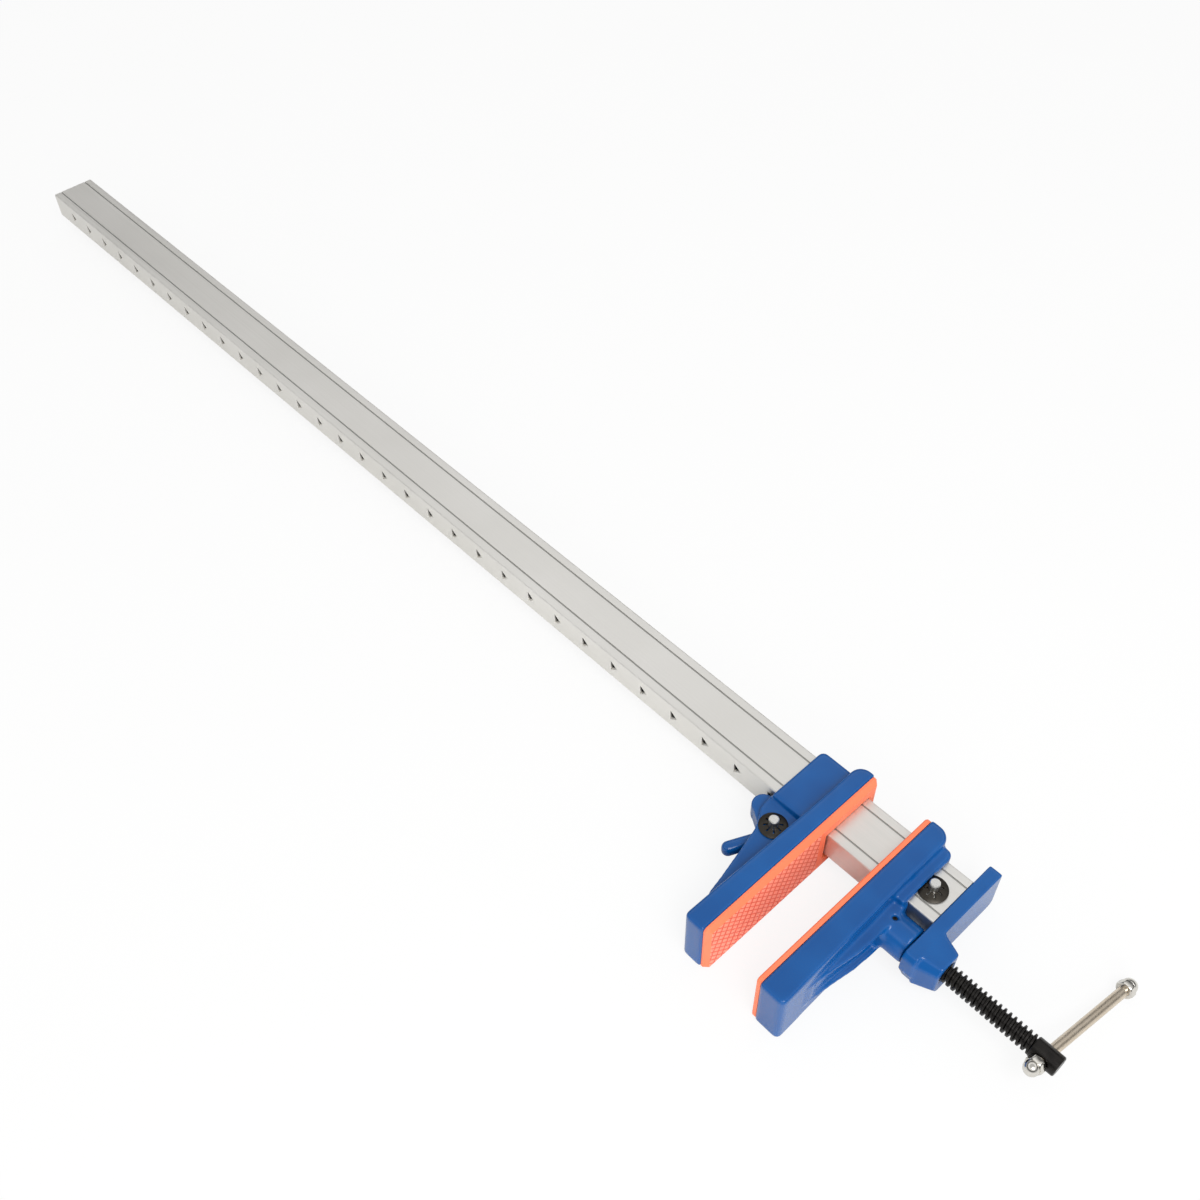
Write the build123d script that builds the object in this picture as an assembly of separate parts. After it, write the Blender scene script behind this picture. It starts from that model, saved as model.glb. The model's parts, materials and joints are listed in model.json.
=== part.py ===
from build123d import *
import math
import os

# Quick release bar clamp, lying on its jaws. Millimetres.
# Working frame: +X runs along the bar from its tail to the screw end, y = 0 is the
# bar's notched side with the jaws reaching towards -Y, z = 0 is the bar's top face.
# place() moves everything to the delivered frame: origin at the centre of the
# bounding box's underside.

# ---------------------------------------------------------------- bar
BAR_LENGTH = 926.0
BAR_WIDTH = 34.0
BAR_HEIGHT = 20.0
BAR_SIDE_WALL = 2.6
BAR_FACE_WALL = 2.4
BAR_CORNER_R = 1.2
GROOVE_INSET = 6.0
GROOVE_WIDTH = 1.0
GROOVE_DEPTH = 0.55
NOTCH_PITCH = 25.4
NOTCH_MARGIN = 12.0
NOTCH_DROP = 9.6
NOTCH_HEIGHT = 8.4
NOTCH_RUN = 5.6
NOTCH_TAPER = 0.52
PLUG_LENGTH = 14.0
PLUG_WALL = 2.0
PLUG_RECESS = 0.5

# ---------------------------------------------------------------- castings
FOOT_DEPTH = 31.0
CREST_HEIGHT = 10.0
BEAM_REACH = 92.5
BEAM_BACK = 42.5
BEAM_THICK = 13.0
BEAM_TAPER = 2.2
SCREW_BEAM_EXTRA = 2.6
BEAM_EDGE_R = 1.6
BEAM_CORNER_R = 8.0
BEAM_TIP_R = 3.0
SLEEVE_WALL = 4.5
SLEEVE_FAR_WALL = 3.6
SLEEVE_GAP = 0.35
SLEEVE_BACK = 21.7
SLEEVE_CORNER_R = 4.0
SLEEVE_EDGE_R = 1.6
WEB_THICK = 20.0
WEB_REACH = 78.0

# ---------------------------------------------------------------- sliding jaw at rest
SLIDING_PAD_THICK = 4.0
PAWL_BACK = 42.9
LEVER_SLOT = 12.8
PIVOT_X = 23.9
PIVOT_Y = -17.0
EAR_REACH = 14.4

# ---------------------------------------------------------------- screw jaw at rest
SCREW_FACE_BACK = 38.3
JAW_GAP = 32.0
SCREW_PAD_THICK = 3.0
SCREW_SLEEVE_BACK = 6.0
RECESS_GAP = 0.5
SCREW_WEB_DEPTH = 8.5
BOSS_R = 10.6
BOSS_ASIDE = 1.3
BOSS_BELOW = 0.6
BOSS_END_GAP = 0.6

# ---------------------------------------------------------------- pads
PAD_MARGIN = 1.0
PAD_BEVEL = 2.6
SCREW_PAD_BEVEL = 0.8
PAD_CORNER_R = 3.0
PAD_WINDOW_GAP = 0.5
PAD_WINDOW_SIDE = 1.3
PAD_WINDOW_DROP = 4.0
PAD_PEG_R = 3.0
PAD_PEG_LENGTH = 4.5
PAD_PEG_GAP = 0.15

# ---------------------------------------------------------------- release lever and pawl
LEVER_THICK = 12.0
LEVER_BARREL_R = 8.2
LEVER_NOSE_R = 6.8
NOSE_AHEAD = 4.5
NOSE_BACK = 8.2
LEVER_TAIL_LENGTH = 25.6
LEVER_TAIL_WIDTH = 7.2
LEVER_TAIL_THICK = 8.0
LEVER_TAIL_ANGLE = 244.8
LEVER_TAIL_ROUND = 2.6
LEVER_EDGE_R = 0.8
PAWL_WIDTH = 4.6
PAWL_THICK = 2.8
PAWL_TIP = 0.6
PAWL_RAMP = 4.4
PAWL_CLEARANCE = 0.35
PAWL_LEAD = -0.15
LEVER_CLEARANCE = 1.4
SPRING_WIRE_R = 0.6
SPRING_TURNS = 3

# ---------------------------------------------------------------- pins and push nuts
PIN_R = 2.9
PIN_CLEARANCE = 0.08
PIN_STAND = 7.5
PIN_HEAD_R = 4.6
PIN_HEAD_THICK = 2.0
PUSH_NUT_R = 8.2
PUSH_NUT_SHEET = 0.8
PUSH_NUT_RISE = 2.2
PUSH_NUT_SLOTS = 8

# ---------------------------------------------------------------- end plate
PLATE_THICK = 8.0
PLATE_NEAR = 25.0
PLATE_FAR = 48.5
PLATE_TOP_CHAMFER = 3.0
PLATE_LOW_CHAMFER = 6.5
PLATE_LOW_RISE = 16.0
PLATE_CORNER_R = 4.0
TONGUE_LENGTH = 24.0
TONGUE_GAP = 0.15
END_PIN_BACK = 11.6
END_PIN_Y = 14.8
HOUSING_LENGTH = 12.0
HOUSING_BASE = ((0.5, -0.1), (-19.0, -0.1), (-24.0, -5.0), (-24.0, -22.0), (-19.0, -30.5), (0.5, -30.5))
HOUSING_TIP = ((-4.0, -0.8), (-16.8, -0.8), (-20.4, -4.33), (-20.4, -18.5), (-16.8, -24.62), (-4.0, -24.62))
BUSH_R = 7.5
BUSH_COLLAR_R = 8.6
BUSH_COLLAR = 1.2
BUSH_BACK = 3.4
EXIT_GAP = 0.5

# ---------------------------------------------------------------- screw and tommy bar
SCREW_Y = -11.5
SCREW_DROP = 10.0
SCREW_R = 5.5
SCREW_LEAD = 3.0
THREAD_DEPTH = 1.7
THREAD_CLEARANCE = 0.12
SCREW_OUT = 52.0
NOSE_R = 4.4
NOSE_LENGTH = 11.0
BOSS_MOUTH = 9.0
NOSE_GAP = 0.08
NECK_R = 3.0
NECK_WIDTH = 3.4
HEAD_R = 5.75
HEAD_LENGTH = 15.0
THRUST_DISC = 1.5
SET_SCREW_R = 1.5
SET_SCREW_SUNK = 2.2
ROD_R = 2.85
ROD_HOLE_R = 3.5
ROD_NEAR = 6.5
ROD_FAR = 65.5
ROD_TILT = -12.0
ROD_SKEW = -5.25
ROD_FROM_END = 7.8
ACORN_AF = 9.0
ACORN_HEX = 4.0
ACORN_HEIGHT = 9.2
ACORN_SEAT = 4.5

# ---------------------------------------------------------------- derived positions
BAR_MID_Y = BAR_WIDTH / 2
BAR_MID_Z = -BAR_HEIGHT / 2
SCREW_Z = -SCREW_DROP
SCREW_FACE = BAR_LENGTH - SCREW_FACE_BACK
SLIDING_FACE = SCREW_FACE - JAW_GAP
LEVER_Z = -NOTCH_DROP
PIVOT = (SLIDING_FACE - PIVOT_X, PIVOT_Y)
SLIDING_BEAM = SLIDING_FACE - SLIDING_PAD_THICK
SCREW_BEAM = SCREW_FACE + SCREW_PAD_THICK
NOTCH_AT_REST = SLIDING_FACE - PAWL_BACK
NOTCH_COUNT = 1 + int((NOTCH_AT_REST - NOTCH_MARGIN) // NOTCH_PITCH)
PLATE_REAR = BAR_LENGTH + PLATE_THICK
HOUSING_END = PLATE_REAR + HOUSING_LENGTH
HEAD_START = HOUSING_END + SCREW_OUT
HEAD_END = HEAD_START + HEAD_LENGTH
BOSS_END = BAR_LENGTH - BOSS_END_GAP
SCREW_TRAVEL = JAW_GAP - 2.0
SLIDING_TRAVEL = (NOTCH_COUNT - 1) * NOTCH_PITCH
ROD_X = HEAD_END - ROD_FROM_END


def block(x0, x1, y0, y1, z0, z1):
    """Axis-aligned box between two corners."""
    size = (x1 - x0, y1 - y0, z1 - z0)
    centre = ((x0 + x1) / 2, (y0 + y1) / 2, (z0 + z1) / 2)
    return Pos(*centre) * Box(*size)


def prism(points, z0, z1):
    """Vertical prism on a plan outline of (x, y) points."""
    face = make_face(Polyline(*points, close=True))
    return Pos(0, 0, z0) * extrude(face, z1 - z0)


def rod_z(x, y, r, z0, z1):
    """Round bar along Z."""
    return Pos(x, y, (z0 + z1) / 2) * Cylinder(r, z1 - z0)


def rod_x(x0, x1, y, z, r):
    """Round bar along X."""
    return Pos((x0 + x1) / 2, y, z) * Rot(0, 90, 0) * Cylinder(r, x1 - x0)


def edges_near(solid, test):
    """Edges whose middle point passes a test."""
    return [e for e in solid.edges() if test(e.center())]


# ---------------------------------------------------------------- bar and its tail plug
def make_bar():
    """Rounded aluminium tube with two grooves a side and a row of ratchet notches."""
    outer = Rectangle(BAR_WIDTH, BAR_HEIGHT)
    outer = fillet(outer.vertices(), BAR_CORNER_R)
    inner = Rectangle(BAR_WIDTH - 2 * BAR_SIDE_WALL, BAR_HEIGHT - 2 * BAR_FACE_WALL)
    section = outer - inner
    for side in (-1, 1):
        for face in (-1, 1):
            y = side * (BAR_WIDTH / 2 - GROOVE_INSET)
            z = face * BAR_HEIGHT / 2
            section -= Pos(y, z) * Rectangle(GROOVE_WIDTH, 2 * GROOVE_DEPTH)
    plane = Plane(origin=(0, BAR_MID_Y, BAR_MID_Z), x_dir=(0, 1, 0), z_dir=(1, 0, 0))
    bar = extrude(plane * section, BAR_LENGTH)
    cutters = []
    for i in range(NOTCH_COUNT):
        cutters.append(notch(NOTCH_AT_REST - i * NOTCH_PITCH))
    bar = bar - cutters
    x, y = end_pin_place()
    return bar - rod_z(x, y, PIN_R + PIN_CLEARANCE, -BAR_HEIGHT - 1, 1)


def notch_outline(depth, grow):
    """Triangle on the notched side, upright at its tail end, at one depth in the wall."""
    half = NOTCH_HEIGHT / 2 * grow
    run = NOTCH_RUN * grow
    points = [(0, depth, half), (run, depth, 0), (0, depth, -half)]
    return Wire.make_polygon([Vector(*p) for p in points], close=True)


def notch(x):
    """Tapered triangular notch through the bar's side wall."""
    over = 0.4
    wide = 1 + NOTCH_TAPER * over / BAR_SIDE_WALL
    deep = BAR_SIDE_WALL + over
    small = 1 - NOTCH_TAPER * deep / BAR_SIDE_WALL * 0.8
    body = Solid.make_loft([notch_outline(-over, wide), notch_outline(deep, small)], ruled=True)
    return Pos(x, 0, LEVER_Z) * body


def end_pin_place():
    """Plan position of the pin that holds the end plate in the bar."""
    return BAR_LENGTH - END_PIN_BACK, END_PIN_Y


def make_tail_plug():
    """Moulded plug pressed into the bar's tail."""
    width = BAR_WIDTH - 2 * BAR_SIDE_WALL
    height = BAR_HEIGHT - 2 * BAR_FACE_WALL
    y0, y1 = BAR_MID_Y - width / 2, BAR_MID_Y + width / 2
    z0, z1 = BAR_MID_Z - height / 2, BAR_MID_Z + height / 2
    body = block(PLUG_RECESS, PLUG_RECESS + PLUG_LENGTH, y0, y1, z0, z1)
    pocket = block(PLUG_RECESS + PLUG_WALL, PLUG_RECESS + PLUG_LENGTH + 1,
                   y0 + PLUG_WALL, y1 - PLUG_WALL, z0 + PLUG_WALL, z1 - PLUG_WALL)
    return body - pocket


# ---------------------------------------------------------------- shared casting shapes
def beam(face_x, thick_root, thick_tip, toward):
    """Upright clamping beam across the bar; toward is -1 when its back faces the tail."""
    tip = -BEAM_REACH
    back = face_x + toward * thick_root
    back_tip = face_x + toward * thick_tip
    points = [(face_x, tip), (face_x, BEAM_BACK), (back, BEAM_BACK), (back, 0), (back_tip, tip)]
    body = prism(points, -FOOT_DEPTH, CREST_HEIGHT)
    corner = edges_near(body, lambda c: abs(c.X - back) < 0.01 and abs(c.Y - BEAM_BACK) < 0.01)
    body = fillet(corner, min(BEAM_CORNER_R, thick_root * 0.72))
    corner = edges_near(body, lambda c: abs(c.X - back_tip) < 0.01 and abs(c.Y - tip) < 0.01)
    body = fillet(corner, BEAM_TIP_R)
    rim = edges_near(body, lambda c: abs(c.Z - CREST_HEIGHT) < 0.01 and abs(c.X - face_x) > 0.01)
    body = fillet(rim, BEAM_EDGE_R)
    rim = edges_near(body, lambda c: abs(c.Z + FOOT_DEPTH) < 0.01 and abs(c.X - face_x) > 0.01)
    return fillet(rim, BEAM_EDGE_R / 2)


def sleeve(free, buried):
    """Box collar round the bar, rounded at the far corner of its free end."""
    x0, x1 = sorted((free, buried))
    far = BAR_WIDTH + SLEEVE_FAR_WALL
    body = block(x0, x1, -SLEEVE_WALL, far, -BAR_HEIGHT - SLEEVE_WALL, SLEEVE_WALL)
    corner = edges_near(body, lambda c: abs(c.X - free) < 0.01 and abs(c.Y - far) < 0.01)
    body = fillet(corner, SLEEVE_CORNER_R)
    long_edges = edges_near(body, lambda c: abs(c.Y - far) < 2.5 and abs(c.Z + BAR_HEIGHT / 2) > 5
                            and min(abs(c.X - x0), abs(c.X - x1)) > 0.01)
    return fillet(long_edges, SLEEVE_EDGE_R)


def bar_passage(x0, x1):
    """Clearance hole for the bar."""
    return block(x0, x1, -SLEEVE_GAP, BAR_WIDTH + SLEEVE_GAP,
                 -BAR_HEIGHT - SLEEVE_GAP, SLEEVE_GAP)


def peg_places():
    """Positions (y, z) of the pad's moulded pegs."""
    mid_z = (CREST_HEIGHT - FOOT_DEPTH) / 2
    return [(-BEAM_REACH * 0.82, mid_z), (-BEAM_REACH * 0.45, mid_z)]


def peg_holes(face_x, toward):
    """Blind holes in a beam for the pad's pegs."""
    depth = PAD_PEG_LENGTH + 0.5
    holes = []
    for y, z in peg_places():
        x0, x1 = sorted((face_x, face_x + toward * depth))
        holes.append(rod_x(x0, x1, y, z, PAD_PEG_R + PAD_PEG_GAP))
    return holes


def pad(beam_x, face_x, bevel):
    """Moulded jaw pad with a window for the bar, a bevelled rim and two pegs."""
    toward = 1 if face_x > beam_x else -1
    y0, y1 = -BEAM_REACH + PAD_MARGIN, BEAM_BACK - PAD_MARGIN * 0.4
    z0, z1 = -FOOT_DEPTH + PAD_MARGIN, CREST_HEIGHT - PAD_MARGIN * 0.5
    x0, x1 = sorted((beam_x, face_x))
    body = block(x0, x1, y0, y1, z0, z1)
    corners = edges_near(body, lambda c: abs(c.Z - z1) < 0.01 and abs(c.X - (x0 + x1) / 2) < 0.01)
    body = fillet(corners, PAD_CORNER_R)
    rim = edges_near(body, lambda c: abs(c.X - face_x) < 0.01 and c.Z > z0 + 1)
    body = chamfer(rim, bevel)
    window = block(x0 - 1, x1 + 1, -PAD_WINDOW_SIDE, BAR_WIDTH + PAD_WINDOW_GAP,
                   -BAR_HEIGHT - PAD_WINDOW_DROP, PAD_WINDOW_GAP)
    body = body - window
    for y, z in peg_places():
        p0, p1 = sorted((beam_x, beam_x - toward * PAD_PEG_LENGTH))
        body = body + rod_x(p0, p1, y, z, PAD_PEG_R)
    return body


# ---------------------------------------------------------------- sliding jaw
def ear_outline():
    """Plan outline of the web that carries the release lever."""
    px, py = PIVOT
    back = SLIDING_BEAM - BEAM_THICK + 2
    front = SLIDING_BEAM - 2
    tail = px - EAR_REACH
    return [(front, -SLEEVE_WALL / 2), (tail, -SLEEVE_WALL / 2), (tail + 1.3, py + 4.5),
            (tail + 5.8, py - 2.6), (tail + 8.2, py - 7.7), (px - 2.8, py - 22),
            (px - 0.7, py - 32), (px + 1.5, py - 42), (px + 3.5, py - 53),
            (back, -WEB_REACH), (front, -WEB_REACH)]


def make_sliding_jaw():
    """Ribbed casting: beam, collar round the bar, and a slotted web for the lever."""
    body = beam(SLIDING_BEAM, BEAM_THICK - BEAM_TAPER, BEAM_THICK, -1)
    root = SLIDING_BEAM - BEAM_THICK + BEAM_TAPER
    collar = sleeve(root - SLEEVE_BACK, root + 2)
    web_z0 = -WEB_THICK - 0.0
    body = body + collar + prism(ear_outline(), web_z0, 0)
    slot_z0, slot_z1 = LEVER_Z - LEVER_SLOT / 2, LEVER_Z + LEVER_SLOT / 2
    px, py = PIVOT
    swing = [(px + 9.6, SLEEVE_GAP), (px + 9.6, py - 12), (px + 7.5, py - 34),
             (px - 30, py - 34), (px - 30, SLEEVE_GAP)]
    body = body - prism(swing, slot_z0, slot_z1)
    body = body - bar_passage(root - SLEEVE_BACK - 30, SLIDING_BEAM + 1)
    body = body - rod_z(px, py, PIN_R + PIN_CLEARANCE, web_z0 - 1, 1)
    return body - peg_holes(SLIDING_BEAM, -1)


def make_sliding_pad():
    """Thick knurled pad of the sliding jaw."""
    return pad(SLIDING_BEAM, SLIDING_FACE, PAD_BEVEL)


# ---------------------------------------------------------------- release lever
def lever_tail_end():
    """Centre of the round finger end."""
    a = math.radians(LEVER_TAIL_ANGLE)
    px, py = PIVOT
    return px + LEVER_TAIL_LENGTH * math.cos(a), py + LEVER_TAIL_LENGTH * math.sin(a)


def pawl_root():
    """Centre of the lever's nose, behind the pawl."""
    return NOTCH_AT_REST + NOSE_AHEAD, -NOSE_BACK


def make_release_lever():
    """Bell-crank lever: barrel on the pin, nose with the pawl, rounded finger tail."""
    z0, z1 = LEVER_Z - LEVER_THICK / 2, LEVER_Z + LEVER_THICK / 2
    px, py = PIVOT
    nx, ny = pawl_root()
    body = rod_z(px, py, LEVER_BARREL_R, z0, z1)
    body += rod_z(nx, ny, LEVER_NOSE_R, z0, z1)
    body += strip((px, py), (nx, ny), 13.0, z0, z1)
    rims = edges_near(body, lambda c: abs(c.Z - z0) < 0.01 or abs(c.Z - z1) < 0.01)
    body = fillet(rims, LEVER_EDGE_R) + finger()
    pocket_z0 = LEVER_Z - PAWL_THICK / 2
    pocket_x0 = NOTCH_AT_REST + PAWL_LEAD
    body -= block(pocket_x0, pocket_x0 + PAWL_WIDTH, ny - 1.5, 2, pocket_z0, pocket_z0 + PAWL_THICK)
    body -= block(px - 40, px + 20, -LEVER_CLEARANCE, 5, z0 - 1, z1 + 1)
    body -= rod_z(px, py, PIN_R + PIN_CLEARANCE, z0 - 1, z1 + 1)
    spring_room = SPRING_TURNS * SPRING_WIRE_R * 2 + 0.8
    return body - rod_z(px, py, LEVER_BARREL_R - 2.0, z1 - spring_room, z1 + 1)


def finger():
    """Rounded finger grip of the release lever, from the barrel to its tip."""
    px, py = PIVOT
    tx, ty = lever_tail_end()
    z0, z1 = LEVER_Z - LEVER_TAIL_THICK / 2, LEVER_Z + LEVER_TAIL_THICK / 2
    body = strip((px, py), (tx, ty), LEVER_TAIL_WIDTH, z0, z1)
    body += rod_z(tx, ty, LEVER_TAIL_WIDTH / 2, z0, z1)
    rims = edges_near(body, lambda c: abs(c.Z - z0) < 0.01 or abs(c.Z - z1) < 0.01)
    rims = [e for e in rims if math.hypot(e.center().X - px, e.center().Y - py) > 1]
    return fillet(rims, LEVER_TAIL_ROUND)


def strip(a, b, width, z0, z1):
    """Straight bar of one width between two plan points."""
    dx, dy = b[0] - a[0], b[1] - a[1]
    length = math.hypot(dx, dy)
    turn = math.degrees(math.atan2(dy, dx))
    middle = ((a[0] + b[0]) / 2, (a[1] + b[1]) / 2, (z0 + z1) / 2)
    return Pos(*middle) * Rot(0, 0, turn) * Box(length, width, z1 - z0)


def make_pawl_tooth():
    """Hardened tooth let into the lever's nose; it drops into the bar's notches."""
    nx, ny = pawl_root()
    x0 = NOTCH_AT_REST + PAWL_LEAD
    z0 = LEVER_Z - PAWL_THICK / 2
    body = block(x0, x0 + PAWL_WIDTH, ny - 1.5, -PAWL_CLEARANCE, z0, z0 + PAWL_THICK)
    ramp = [(x0 + PAWL_TIP, -PAWL_CLEARANCE), (x0 + PAWL_WIDTH, -PAWL_CLEARANCE),
            (x0 + PAWL_WIDTH, -PAWL_CLEARANCE - PAWL_RAMP)]
    return body - prism(ramp, z0 - 1, z0 + PAWL_THICK + 1)


def make_lever_spring():
    """Torsion spring round the pivot pin, one leg on the web and one on the lever."""
    px, py = PIVOT
    top = LEVER_Z + LEVER_THICK / 2 - 0.2
    coil_r = LEVER_BARREL_R - 2.0 - SPRING_WIRE_R - 0.35
    pitch = SPRING_WIRE_R * 2 + 0.05
    rings = None
    for i in range(SPRING_TURNS):
        z = top - SPRING_WIRE_R - i * pitch
        ring = Pos(px, py, z) * Torus(coil_r, SPRING_WIRE_R + 0.04)
        rings = ring if rings is None else rings + ring
    return rings


def make_pin(x, y, z_low, z_high):
    """Headed pin with a chamfered nose."""
    body = rod_z(x, y, PIN_R, z_low, z_high)
    body = chamfer(edges_near(body, lambda c: abs(c.Z - z_high) < 0.01), 0.5)
    head = rod_z(x, y, PIN_HEAD_R, z_low - PIN_HEAD_THICK, z_low)
    head = chamfer(edges_near(head, lambda c: abs(c.Z - z_low + PIN_HEAD_THICK) < 0.01), 0.5)
    return body + head


def make_push_nut(x, y):
    """Domed spring-steel push nut with radial slots, gripping the pin on the top face."""
    profile = Polyline((PIN_R, PUSH_NUT_RISE), (PIN_R, PUSH_NUT_RISE - PUSH_NUT_SHEET),
                       (PUSH_NUT_R * 0.62, PUSH_NUT_RISE * 0.5 - PUSH_NUT_SHEET * 0.5),
                       (PUSH_NUT_R, 0), (PUSH_NUT_R, PUSH_NUT_SHEET),
                       (PUSH_NUT_R * 0.66, PUSH_NUT_RISE * 0.5 + PUSH_NUT_SHEET * 0.6), close=True)
    body = revolve(Plane.XZ * make_face(profile), Axis.Z)
    slot_inner = PIN_R - 0.5
    slot_outer = PUSH_NUT_R * 0.7
    for i in range(PUSH_NUT_SLOTS):
        cut = Pos((slot_inner + slot_outer) / 2, 0, 0) * Box(slot_outer - slot_inner, 0.8, 12)
        body -= Rot(0, 0, i * 360 / PUSH_NUT_SLOTS) * cut
    return Pos(x, y, 0) * body


def make_pivot_pin():
    """Pin through the sliding jaw's web and the release lever."""
    return make_pin(*PIVOT, -WEB_THICK, PIN_STAND)


def make_pivot_push_nut():
    """Push nut on top of the pivot pin."""
    return make_push_nut(*PIVOT)


def make_end_pin():
    """Pin through the bar and the end plate's tongue."""
    return make_pin(*end_pin_place(), -BAR_HEIGHT, PIN_STAND)


def make_end_push_nut():
    """Push nut on top of the end pin."""
    return make_push_nut(*end_pin_place())


# ---------------------------------------------------------------- screw jaw
def make_screw_jaw():
    """Casting pushed by the screw: beam, collar, tapered web and screw boss."""
    thick = BEAM_THICK + SCREW_BEAM_EXTRA
    body = beam(SCREW_BEAM, thick - BEAM_TAPER, thick, 1)
    root = SCREW_BEAM + thick - BEAM_TAPER
    tip = SCREW_BEAM + thick
    body += sleeve(root + SCREW_SLEEVE_BACK, root - 2)
    rear = SCREW_BEAM + BEAM_THICK + SCREW_WEB_DEPTH
    web = [(SCREW_BEAM + 2, -0.5), (rear - 1, -0.5), (rear - 0.3, SCREW_Y - 14),
           (rear - 1.2, -40), (rear - 3.6, -54), (tip - 0.8, -WEB_REACH), (SCREW_BEAM + 2, -WEB_REACH)]
    body += prism(web, -WEB_THICK, 0)
    body += rod_x(rear - 8, BOSS_END, SCREW_Y - BOSS_ASIDE, SCREW_Z - BOSS_BELOW, BOSS_R)
    body -= bar_passage(SCREW_BEAM - 1, BAR_LENGTH + 1)
    px, py = end_pin_place()
    body -= rod_z(px, py, PUSH_NUT_R + RECESS_GAP, 0, PUSH_NUT_RISE + 0.3)
    body -= rod_z(px, py, PIN_HEAD_R + RECESS_GAP, -BAR_HEIGHT - PIN_HEAD_THICK - 0.4, -BAR_HEIGHT)
    depth = nose_start()
    body -= rod_x(depth - THRUST_DISC, BOSS_END + 1, SCREW_Y, SCREW_Z, NOSE_R + NOSE_GAP)
    body -= rod_x(BOSS_END - BOSS_MOUTH, BOSS_END + 1, SCREW_Y, SCREW_Z, SCREW_R + THREAD_CLEARANCE)
    x = neck_middle()
    body -= rod_z(x, SCREW_Y, SET_SCREW_R, SCREW_Z, SCREW_Z + BOSS_R + 2)
    return body - peg_holes(SCREW_BEAM, 1)


def nose_start():
    """Inner end of the screw's nose."""
    return BOSS_END - BOSS_MOUTH - NOSE_LENGTH


def neck_middle():
    """Middle of the groove that the set screw drops into."""
    return nose_start() + NOSE_LENGTH * 0.5


def make_screw_pad():
    """Thin pad of the screw jaw."""
    return pad(SCREW_BEAM, SCREW_FACE, SCREW_PAD_BEVEL)


def make_thrust_disc():
    """Hardened disc at the bottom of the boss that takes the screw's thrust."""
    x = nose_start()
    return rod_x(x - THRUST_DISC, x - 0.05, SCREW_Y, SCREW_Z, NOSE_R + NOSE_GAP)


def make_set_screw():
    """Dog-point set screw that holds the nose in the boss, sunk below the surface."""
    x = neck_middle()
    low = SCREW_Z + NECK_R + 0.25
    high = SCREW_Z + BOSS_R - SET_SCREW_SUNK
    body = rod_z(x, SCREW_Y, SET_SCREW_R, low, high)
    socket = Pos(x, SCREW_Y, high - 0.6) * extrude(RegularPolygon(0.8, 6), 1.4)
    return body - socket


# ---------------------------------------------------------------- end plate
def cross_wire(x, corners):
    """Polygon of (y, z) corners in a plane across the screw's axis."""
    return Wire.make_polygon([Vector(x, y, z) for y, z in corners], close=True)


def make_end_plate():
    """Casting that closes the bar: plate, tongue inside the bar, and the screw housing."""
    near, far, low = -PLATE_NEAR, PLATE_FAR, -FOOT_DEPTH
    plate = block(BAR_LENGTH, PLATE_REAR, near, far, low, 0)
    cut = PLATE_LOW_CHAMFER
    for outline in ([(near, 0), (near + PLATE_TOP_CHAMFER, 0), (near, -PLATE_TOP_CHAMFER)],
                    [(near, low), (near + cut, low), (near, low + PLATE_LOW_RISE)]):
        face = make_face(cross_wire(BAR_LENGTH - 1, outline))
        plate -= extrude(face, PLATE_THICK + 2, dir=(1, 0, 0))
    corner = edges_near(plate, lambda c: abs(c.Y - far) < 0.01 and abs(c.Z - low) < 0.01)
    plate = fillet(corner, PLATE_CORNER_R)
    corner = edges_near(plate, lambda c: abs(c.Y - far) < 0.01 and abs(c.Z) < 0.01)
    plate = fillet(corner, PLATE_CORNER_R / 3)
    base = cross_wire(PLATE_REAR - 0.5, HOUSING_BASE)
    tip = cross_wire(HOUSING_END, HOUSING_TIP)
    plate += Solid.make_loft([base, tip], ruled=True)
    gap = BAR_SIDE_WALL + TONGUE_GAP
    rise = BAR_FACE_WALL + TONGUE_GAP
    tongue = block(BAR_LENGTH - TONGUE_LENGTH, BAR_LENGTH + 1, gap, BAR_WIDTH - gap, -BAR_HEIGHT + rise, -rise)
    plate += tongue
    x, y = end_pin_place()
    plate -= rod_z(x, y, PIN_R + PIN_CLEARANCE, -BAR_HEIGHT - 1, 1)
    plate -= rod_x(BAR_LENGTH - 1, HOUSING_END - BUSH_BACK, SCREW_Y, SCREW_Z, BUSH_R)
    plate -= rod_x(BAR_LENGTH, HOUSING_END + 1, SCREW_Y, SCREW_Z, SCREW_R + EXIT_GAP)
    return plate - rod_x(BAR_LENGTH - 1, BAR_LENGTH + BUSH_COLLAR, SCREW_Y, SCREW_Z, BUSH_COLLAR_R)


def make_thread_bush():
    """Threaded bush pressed into the housing; its bore stands in for the thread."""
    body = rod_x(BAR_LENGTH, HOUSING_END - BUSH_BACK, SCREW_Y, SCREW_Z, BUSH_R)
    body += rod_x(BAR_LENGTH, BAR_LENGTH + BUSH_COLLAR, SCREW_Y, SCREW_Z, BUSH_COLLAR_R)
    return body - rod_x(BAR_LENGTH - 1, HOUSING_END, SCREW_Y, SCREW_Z, SCREW_R + THREAD_CLEARANCE)


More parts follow.
